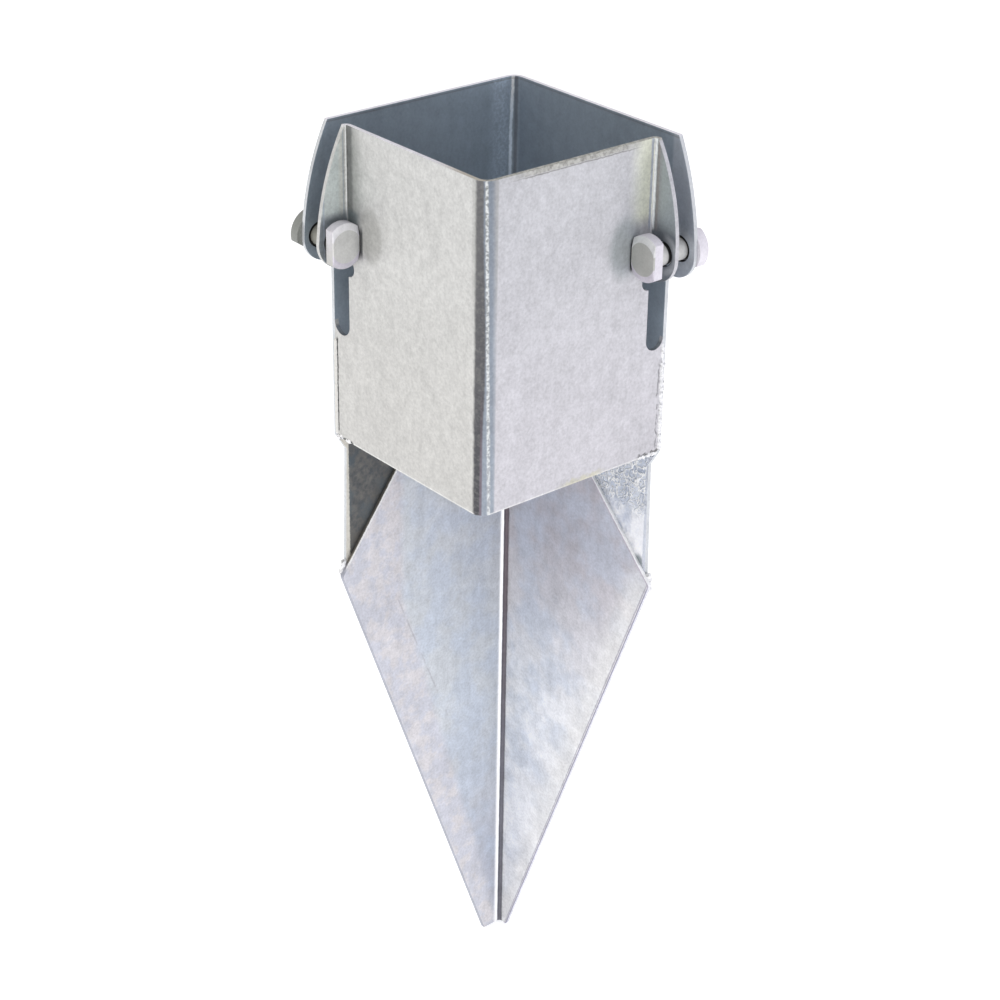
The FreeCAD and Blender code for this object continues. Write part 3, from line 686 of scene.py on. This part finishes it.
def leftArmTone(finish, cool):
    # a lighter zone outside a bluish one, parted along a slant with a thin line
    y = finish.y
    drop = finish.maths("ADD", finish.z, 0.0920)
    level = finish.either(finish.shifted(-0.0189, drop, -0.2845), -0.0172)
    parting = finish.maths("SUBTRACT", finish.ragged(y, 0.0016, 0.010), level)
    swirl = finish.ramp(finish.noise(0.009, 4.0, 0.6, shift=(0.6, 0.2, 0.3)), 0.42, 0.60)
    inner = finish.layers(
        finish.tint(finish.ramp(finish.z, -0.16, -0.30), *bladeSheet["leftInner"]),
        ((194, 204, 220), cool, 0.5))
    hair = finish.maths(
        "SUBTRACT", finish.ragged(y, 0.0003), finish.shifted(-0.0219, drop, -0.395))
    return finish.layers(
        finish.tint(swirl, *bladeSheet["leftOuter"]),
        (inner, finish.ramp(parting, -0.0030, 0.0030)),
        ((160, 156, 164), finish.band(hair, -0.0004, 0.0004, 0.0003),
         finish.band(finish.z, -0.175, -0.095, 0.010), finish.ramp(swirl, 0.1, 0.7), 0.4))

def rightArmTone(finish, cool, inset):
    # brownish above, clean and pale below, lighter towards its outer edge
    z = finish.z
    clean = finish.ramp(finish.ragged(z, 0.010, 0.02), -0.050, -0.190)
    return finish.layers(
        finish.tint(clean, *bladeSheet["rightArm"]),
        ((196, 206, 222), cool, 0.45),
        ((232, 231, 230), finish.ramp(inset, 0.020, 0.004), finish.ramp(z, -0.055, -0.075), 0.7))

def paintCrease(finish):
    # painted shade in a dark run, and beside it a painted highlight along a bright ridge, which is given
    # back
    crease = insideBend(finish, 0.038, 0.040)
    dark = finish.tint(finish.ramp(finish.z, -0.10, -0.24), *bladeSheet["crease"])
    run = finish.band(finish.ragged(finish.across, 0.0003, 0.006), -0.0018, 0.0016, 0.0005)
    finish.paint(dark, crease, run, 0.95)
    wavy = finish.ragged(finish.across, 0.0002, 0.004)
    ridge = finish.times(
        crease, finish.ramp(wavy, -0.0050, -0.0026), finish.ramp(wavy, -0.0016, -0.0022))
    # painted highlight along the ridge
    finish.paint(white, ridge)
    return ridge

def paintCuts(finish, under):
    # sheared edges with painted highlights, bright above and duller below the shoulders; gives back the
    # bare rims
    x, y = finish.x, finish.y
    leftCut = finish.times(finish.ramp(finish.ny, -0.25, -0.5), finish.ramp(y, 0.045, 0.044))
    rightCut = finish.times(finish.ramp(finish.nx, 0.25, 0.5), finish.ramp(x, -0.045, -0.044))
    leftLine = finish.layers(
        (128, 124, 116),
        (white, finish.ramp(finish.ragged(x, 0.0003), -0.0492, -0.0488)),
        ((170, 172, 184), under))
    lowRight = finish.tint(
        finish.ramp(finish.ragged(y, 0.0003), 0.0486, 0.0490), (146, 144, 164), (226, 226, 234))
    rightLine = finish.layers(
        (196, 188, 200),
        (white, finish.ramp(finish.ragged(y, 0.0002), 0.0483, 0.0486)),
        (lowRight, under))
    # painted highlights on the sheared edges
    finish.paint(leftLine, leftCut)
    finish.paint(rightLine, rightCut)
    rim = finish.either(
        finish.times(leftCut, finish.ramp(finish.ragged(x, 0.0002), -0.0490, -0.0487)),
        finish.times(rightCut, finish.ramp(finish.ragged(y, 0.0002), 0.0492, 0.0489)))
    return finish.times(rim, finish.ramp(under, 1.0, 0.0), 0.9)

def makeBladeZinc():
    finish = startZinc("bladeZinc", bladeSheet)
    leftInside, rightInside = insideFaces(finish)
    cool = finish.ramp(finish.noise(0.022, 3.0, 0.55, shift=(0.4, 0.8, 0.6)), 0.40, 0.62)
    # how far inside the right arm's outer edge
    drop = finish.maths("ADD", finish.z, 0.0686)
    inset = finish.maths("SUBTRACT", finish.shifted(0.0532, drop, 0.3808), finish.x)
    finish.colour = bladeSheet["plain"]
    finish.paint(leftArmTone(finish, cool), leftInside)
    finish.paint(rightArmTone(finish, cool, inset), rightInside)
    ridge = paintCrease(finish)
    under = finish.ramp(finish.z, -0.066, -0.072)
    rim = paintCuts(finish, under)
    edgeLine = finish.band(finish.ragged(inset, 0.0004), 0.0003, 0.0011, 0.0003)
    finish.paint((150, 146, 164), rightInside, under, edgeLine, 0.6)

    # the ridge and the rims are bare zinc that mirrors the bright ground, with normals turned towards fixed
    # ones; the ridge's painted highlight stays at full brightness
    metallic = finish.ramp(
        finish.either(ridge, rim), 0.0, 1.0, zinc["metallic"], 1.0, smooth=False)
    relief = finish.lean(ridge, finish.relief, bladeSheet["ridgeNormal"])
    relief = finish.lean(rim, relief, bladeSheet["rimNormal"])
    tone = finish.ramp(ridge, 0.0, 1.0, finish.tone, 1.0, smooth=False)
    return finish.wear(tone, finish.roughness, relief, metallic)


sheets = {
    "edge": 0.00028,        # round of every sheared edge
    "steps": 2,
    "keenest": 32,          # degrees, a fold sharper than this gets the round
    "merge": 2e-6,          # corners nearer than this are one
    "flat": 0.5,            # degrees, faces that turn less than this are one
}

def plainMesh(piece):
    # bakes what modifiers give into the piece's own mesh
    depsgraph = bpy.context.evaluated_depsgraph_get()
    bpy.context.view_layer.update()
    mesh = bpy.data.meshes.new_from_object(piece.evaluated_get(depsgraph), depsgraph=depsgraph)
    piece.modifiers.clear()
    old = piece.data
    piece.data = mesh
    bpy.data.meshes.remove(old)
    mesh.name = piece.name

def copyOfNode(name, pieceName):
    mesh = nodes[name].data.copy()
    mesh.name = pieceName
    shell = bmesh.new()
    shell.from_mesh(mesh)
    bmesh.ops.remove_doubles(shell, verts=shell.verts, dist=sheets["merge"])
    bmesh.ops.dissolve_limit(
        shell, angle_limit=math.radians(sheets["flat"]), verts=shell.verts, edges=shell.edges)
    bmesh.ops.recalc_face_normals(shell, faces=shell.faces)
    shell.to_mesh(mesh)
    shell.free()
    if mesh.has_custom_normals:
        mesh.attributes.remove(mesh.attributes["custom_normal"])
    piece = bpy.data.objects.new(pieceName, mesh)
    bpy.context.scene.collection.objects.link(piece)
    return piece

def easeEdges(piece, width, steps):
    for face in piece.data.polygons:
        face.use_smooth = True
    bevel = piece.modifiers.new("ease", "BEVEL")
    bevel.width = width
    bevel.segments = steps
    bevel.limit_method = "ANGLE"
    bevel.angle_limit = math.radians(sheets["keenest"])
    bevel.use_clamp_overlap = True
    flat = piece.modifiers.new("flat", "WEIGHTED_NORMAL")
    flat.keep_sharp = True
    plainMesh(piece)

def dress(piece, material, replaced):
    piece.data.materials.clear()
    piece.data.materials.append(material)
    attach(piece, body)
    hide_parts(replaced)

def makeSheets():
    for name, pieceName, material in (
            ("front_socket_half", "frontSheet", makeFrontZinc()),
            ("rear_socket_half", "rearSheet", makeRearZinc()),
            ("spike_blade", "bladeSheet", makeBladeZinc())):
        piece = copyOfNode(name, pieceName)
        easeEdges(piece, sheets["edge"], sheets["steps"])
        dress(piece, material, name)

makeSheets()
print("sheets made")


beads = {
    "step": 0.0009,             # from one ripple to the next
    "voxel": 0.00026,           # fineness of the fused bead
    "firstSeed": 11,
    "even": 0.00008,            # how far a ripple strays on an even bead
    "ragged": 0.00055,          # and on a ragged one
    "evenSize": (0.95, 1.05),   # least and most of a ripple's radius
    "raggedSize": (0.75, 1.2),
    "roughness": 0.40,
    "metallic": 0.5,
    "tone": ((184, 184, 187), (244, 244, 245)),
    # per node: the line's ends, its radius and how ragged it is, 0 for an even bead
    "lines": {
        "left_seam_weld": ((-0.0503, -0.0518, 0.0020), (-0.0503, -0.0518, 0.0470), 0.0013, 0),
        "right_seam_weld": ((0.0521, 0.0512, 0.0020), (0.0521, 0.0512, 0.0520), 0.0012, 0.7),
        "left_corner_weld": ((-0.0495, -0.0515, 0.0004), (-0.0403, -0.0515, 0.0004), 0.0012, 1),
        "right_corner_weld": ((0.0515, 0.0495, 0.0004), (0.0515, 0.0403, 0.0004), 0.0012, 1),
        "left_shoulder_weld": (
            (-0.0514, -0.0506, -0.0730), (-0.0514, -0.0496, -0.0672), 0.0015, 0.35),
        "right_shoulder_weld": (
            (0.0509, 0.0514, -0.0726), (0.0500, 0.0514, -0.0652), 0.0014, 0.35),
        "left_rear_weld": ((-0.0511, -0.0460, -0.0726), (-0.0511, 0.0455, -0.0726), 0.0012, 1),
        "right_rear_weld": ((-0.0455, 0.0511, -0.0726), (0.0460, 0.0511, -0.0726), 0.0012, 1),
    },
}

def newTree(name, inputs):
    # inputs is {name: socket type}; the tree starts with its group nodes
    tree = bpy.data.node_groups.new(name, "GeometryNodeTree")
    tree.interface.new_socket("Geometry", in_out="OUTPUT", socket_type="NodeSocketGeometry")
    tree.interface.new_socket("Geometry", in_out="INPUT", socket_type="NodeSocketGeometry")
    for label, kind in inputs.items():
        tree.interface.new_socket(label, in_out="INPUT", socket_type=kind)
    entry = tree.nodes.new("NodeGroupInput")
    end = tree.nodes.new("NodeGroupOutput")
    return tree, entry.outputs, end.inputs

def runTree(piece, tree, amounts):
    modifier = piece.modifiers.new("tree", "NODES")
    modifier.node_group = tree
    for item in tree.interface.items_tree:
        if item.in_out == "INPUT" and item.name in amounts:
            modifier[item.identifier] = amounts[item.name]
    plainMesh(piece)

def beadTree(material):
    # drops along a line, each a little off its place and size, fused to one skin
    tree, given, result = newTree("weldBead", {
        "Start": "NodeSocketVector", "End": "NodeSocketVector", "Step": "NodeSocketFloat",
        "Radius": "NodeSocketFloat", "Wobble": "NodeSocketFloat", "Voxel": "NodeSocketFloat",
        "Least": "NodeSocketFloat", "Most": "NodeSocketFloat", "Seed": "NodeSocketInt"})
    line = addNode(tree, "GeometryNodeCurvePrimitiveLine", {
        "Start": given["Start"], "End": given["End"]})[0]
    points = addNode(tree, "GeometryNodeCurveToPoints", {
        "Curve": line, "Length": given["Step"]}, mode="LENGTH")[0]
    stray = addNode(tree, "FunctionNodeRandomValue", {
        0: (-1, -1, -1), 1: (1, 1, 1), "Seed": given["Seed"]}, data_type="FLOAT_VECTOR")[0]
    offset = addNode(tree, "ShaderNodeVectorMath", {
        0: stray, 3: given["Wobble"]}, operation="SCALE")[0]
    moved = addNode(tree, "GeometryNodeSetPosition", {"Geometry": points, "Offset": offset})[0]
    size = addNode(tree, "FunctionNodeRandomValue", {
        2: given["Least"], 3: given["Most"], "Seed": given["Seed"]}, data_type="FLOAT")[1]
    radius = addNode(tree, "ShaderNodeMath", {
        0: size, 1: given["Radius"]}, operation="MULTIPLY")[0]
    cloud = addNode(tree, "GeometryNodePointsToVolume", {
        "Points": moved, "Voxel Size": given["Voxel"], "Radius": radius},
        resolution_mode="VOXEL_SIZE")[0]
    skin = addNode(tree, "GeometryNodeVolumeToMesh", {
        "Volume": cloud, "Voxel Size": given["Voxel"], "Threshold": 0.1},
        resolution_mode="VOXEL_SIZE")[0]
    smooth = addNode(tree, "GeometryNodeSetShadeSmooth", {"Geometry": skin})[0]
    real = addNode(tree, "GeometryNodeRealizeInstances", {"Geometry": smooth})[0]
    painted = addNode(tree, "GeometryNodeSetMaterial", {"Geometry": real, "Material": material})[0]
    tree.links.new(painted, result[0])
    return tree

def makeBeadZinc():
    finish = Finish("beadZinc", beads["roughness"], beads["metallic"])
    bright = finish.ramp(finish.noise(0.0016, 4.0, 0.65), 0.32, 0.50)
    finish.colour = finish.tint(bright, *beads["tone"])
    # the left seam is smoother and greyer than the others, and has no cracks
    calm = finish.times(
        finish.ramp(finish.x, -0.047, -0.048), finish.ramp(finish.z, 0.001, 0.002))
    finish.paint((214, 212, 206), calm, 0.8)
    crack = finish.ramp(finish.noise(0.0030, 4.0, 0.7, shift=(0.4, 0.9, 0.2)), 0.42, 0.36)
    finish.paint((92, 90, 90), crack, finish.maths("SUBTRACT", 1.0, calm), 0.7)
    return finish.wear(1.0, None, finish.bump(finish.noise(0.0008, 3.0, 0.6), 0.00006))

def makeBeads():
    metal = makeBeadZinc()
    tree = beadTree(metal)
    for count, (name, (start, end, radius, share)) in enumerate(beads["lines"].items()):
        side, place = name.split("_")[:2]
        least, most = beads["raggedSize"] if share else beads["evenSize"]
        piece = bpy.data.objects.new(side + place.title() + "Bead", bpy.data.meshes.new("bead"))
        bpy.context.scene.collection.objects.link(piece)
        runTree(piece, tree, {
            "Start": start, "End": end, "Step": beads["step"], "Radius": radius,
            "Wobble": beads["ragged"] * share if share else beads["even"],
            "Voxel": beads["voxel"], "Least": least, "Most": most,
            "Seed": beads["firstSeed"] + count})
        dress(piece, metal, name)

makeBeads()
print("weld beads laid")


fasteners = {
    "edge": 0.0005,             # round of the cast edges
    "steps": 3,
    "roughness": 0.46,
    "metallic": 0.4,
    "unevenness": 0.3,          # share of speckle and mottling in the brightness
    "pitch": 0.0015,            # of the thread
    "threadDepth": 0.0012,
    "threadStart": 0.0582,      # past the nut's outer face, from the socket's axis
    "shank": (0.0052, 0.0051),  # from just outside its radius inwards
    "leftFace": (216, 216, 214),
    "rightFace": (182, 182, 177),
    "leftShank": (158, 156, 146),
    "rightShank": (214, 213, 210),
    "leftNut": (140, 142, 138),
    "rightNut": (228, 224, 231),
    "shadow": (44, 44, 44),
}

def headTones(finish, rings):
    # a duller round face inside a chamfer with a painted highlight, white above and lilac below; the left
    # head's flat rim is painted darker below
    height = finish.ramp(finish.z, 0.094, 0.106)
    left = finish.layers(
        finish.tint(height, (214, 210, 220), (240, 239, 242)),
        (fasteners["leftFace"], finish.ramp(rings[0], 0.0076, 0.0072)))
    leftRim = finish.tint(finish.ramp(finish.z, 0.088, 0.112), (190, 189, 184), (212, 209, 216))
    right = finish.layers(
        finish.tint(height, (212, 207, 216), (222, 223, 222)),
        (fasteners["rightFace"], finish.ramp(rings[1], 0.0076, 0.0072)))
    return (finish.tint(finish.ramp(finish.x, -0.0322, -0.0318), leftRim, left),
            finish.tint(finish.ramp(finish.y, 0.0298, 0.0294), (222, 218, 226), right))

def shankTones(finish, rings):
    # shanks, with painted shadow where they pass the holes, and nuts
    x, y = finish.x, finish.y
    leftHole = finish.either(
        finish.band(x, -0.0525, -0.0505, 0.0003), finish.band(x, -0.0414, -0.0394, 0.0003))
    rightHole = finish.either(
        finish.band(y, 0.0505, 0.0525, 0.0003), finish.band(y, 0.0394, 0.0414, 0.0003))
    atShank = [finish.ramp(ring, *fasteners["shank"]) for ring in rings]
    left = finish.layers(
        fasteners["leftShank"],
        (fasteners["leftNut"], finish.ramp(x, -0.0522, -0.0526)),
        ((196, 196, 193), finish.ramp(finish.nx, -0.3, -0.6)),
        (fasteners["shadow"], leftHole, atShank[0]))
    right = finish.layers(
        fasteners["rightShank"],
        (fasteners["rightNut"], finish.ramp(y, 0.0522, 0.0526)),
        ((202, 201, 202), finish.ramp(finish.ny, 0.3, 0.6)),
        (fasteners["shadow"], rightHole, atShank[1]))
    return left, right

def threadRelief(finish, rings, relief):
    # the thread on each bolt's free end, past its nut
    x, y, z = finish.x, finish.y, finish.z
    for along, across, axis, ring in (
            (x, y, boltAxes["left"], rings[0]), (y, x, boltAxes["right"], rings[1])):
        above = finish.maths("SUBTRACT", z, axis[1])
        beside = finish.maths("SUBTRACT", across, axis[0])
        angle = finish.maths("ARCTAN2", above, beside)
        turn = finish.shifted(
            finish.times(angle, 0.5 / math.pi), along, 1 / fasteners["pitch"])
        wave = finish.maths("PINGPONG", turn, 0.5)
        beyond = finish.maths(
            "GREATER_THAN", finish.maths("ABSOLUTE", along), fasteners["threadStart"])
        free = finish.times(
            beyond, finish.ramp(ring, 0.0052, 0.0050), finish.ramp(ring, 0.0034, 0.0038))
        relief = finish.bump(finish.times(wave, free), fasteners["threadDepth"], relief)
    return relief

def makeFastenerZinc():
    finish = Finish("fastenerZinc", fasteners["roughness"], fasteners["metallic"])
    speckle = finish.noise(0.0011, 3.0, 0.6)
    cloud = finish.noise(0.005, 3.0, 0.5)
    tone = finish.varied(1.0, speckle, fasteners["unevenness"])
    tone = finish.varied(tone, cloud, fasteners["unevenness"])
    rings = boltRings(finish)
    leftHead, rightHead = headTones(finish, rings)
    leftRest, rightRest = shankTones(finish, rings)
    left = finish.tint(finish.ramp(finish.x, -0.0378, -0.0372), leftRest, leftHead)
    right = finish.tint(finish.ramp(finish.y, 0.0354, 0.0348), rightRest, rightHead)
    side = finish.ramp(finish.maths("ADD", finish.x, finish.y), -0.001, 0.001)
    finish.colour = finish.tint(side, left, right)
    relief = finish.bump(speckle, zinc["grainDepth"], finish.bump(cloud, zinc["cloudDepth"]))
    return finish.wear(tone, None, threadRelief(finish, rings, relief))

def makeFasteners():
    metal = makeFastenerZinc()
    for side in ("left", "right"):
        for kind in ("bolt", "nut"):
            name = "%s_clamp_%s" % (side, kind)
            piece = copyOfNode(name, side + "Clamp" + kind.title())
            easeEdges(piece, fasteners["edge"], fasteners["steps"])
            dress(piece, metal, name)

makeFasteners()
print("clamp bolts and nuts made")
